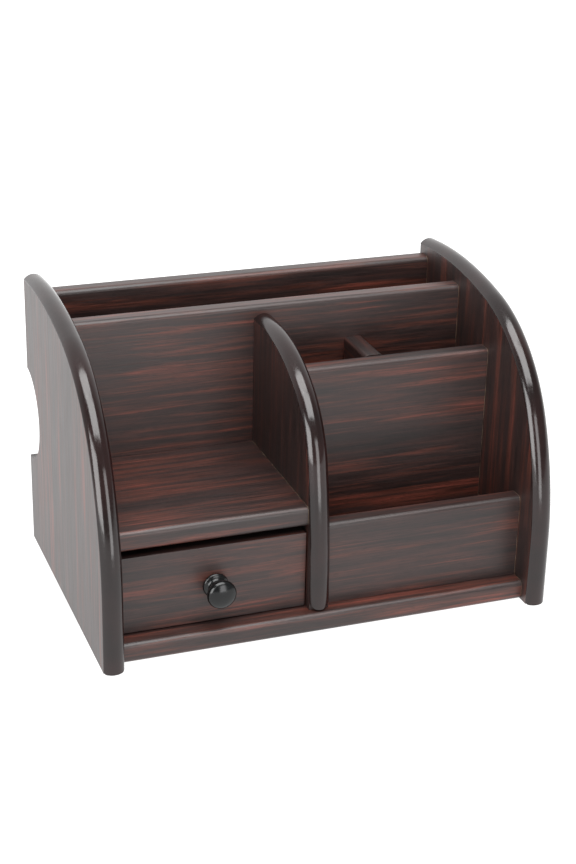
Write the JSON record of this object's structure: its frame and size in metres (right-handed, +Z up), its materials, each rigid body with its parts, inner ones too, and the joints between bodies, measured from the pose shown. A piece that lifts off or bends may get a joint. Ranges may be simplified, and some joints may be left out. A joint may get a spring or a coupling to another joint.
{
  "type": "desk organizer",
  "caption": "Wooden desk organizer with curved sides, an upright letter slot, pen slots, a front pocket, an open shelf and a small drawer with a knob.",
  "frame": {"origin": "on the surface the organizer stands on, at the middle of its width and depth", "axes": "+X to the right seen from the front, +Y towards the back, +Z up; the drawer opens towards -Y"},
  "size_m": [0.275, 0.1822, 0.1795],
  "materials": {
    "foil_board": "dark rosewood grain foil on MDF, satin",
    "edging": "very dark brown, glossy",
    "drawer_board": "dark foil on thin MDF, satin",
    "hardboard": "plain brown hardboard",
    "knob": "black, glossy",
    "steel": "zinc plated",
    "dowel": "plain beech"
  },
  "bodies": {
    "case": {"left_side_panel": "foil_board", "right_side_panel": "foil_board", "centre_divider": "foil_board", "back_panel": "foil_board", "letter_divider": "foil_board", "pen_divider": "foil_board", "pen_slot_divider": "foil_board", "drawer_shelf": "foil_board", "pocket_front": "foil_board", "base_panel": "foil_board", "left_side_edging": "edging", "right_side_edging": "edging", "centre_divider_edging": "edging", "case_dowels": "dowel"},
    "drawer": {"drawer_front": "foil_board", "drawer_left_side": "drawer_board", "drawer_right_side": "drawer_board", "drawer_back": "drawer_board", "drawer_bottom": "hardboard", "drawer_dowels": "dowel", "drawer_pins": "steel", "drawer_knob": "knob", "knob_screw": "steel"}
  },
  "joints": [
    {"name": "drawer_slide", "type": "slide", "parent": "case", "child": "drawer", "axis": [0, -1, 0], "range_m": [0, 0.08]}
  ]
}
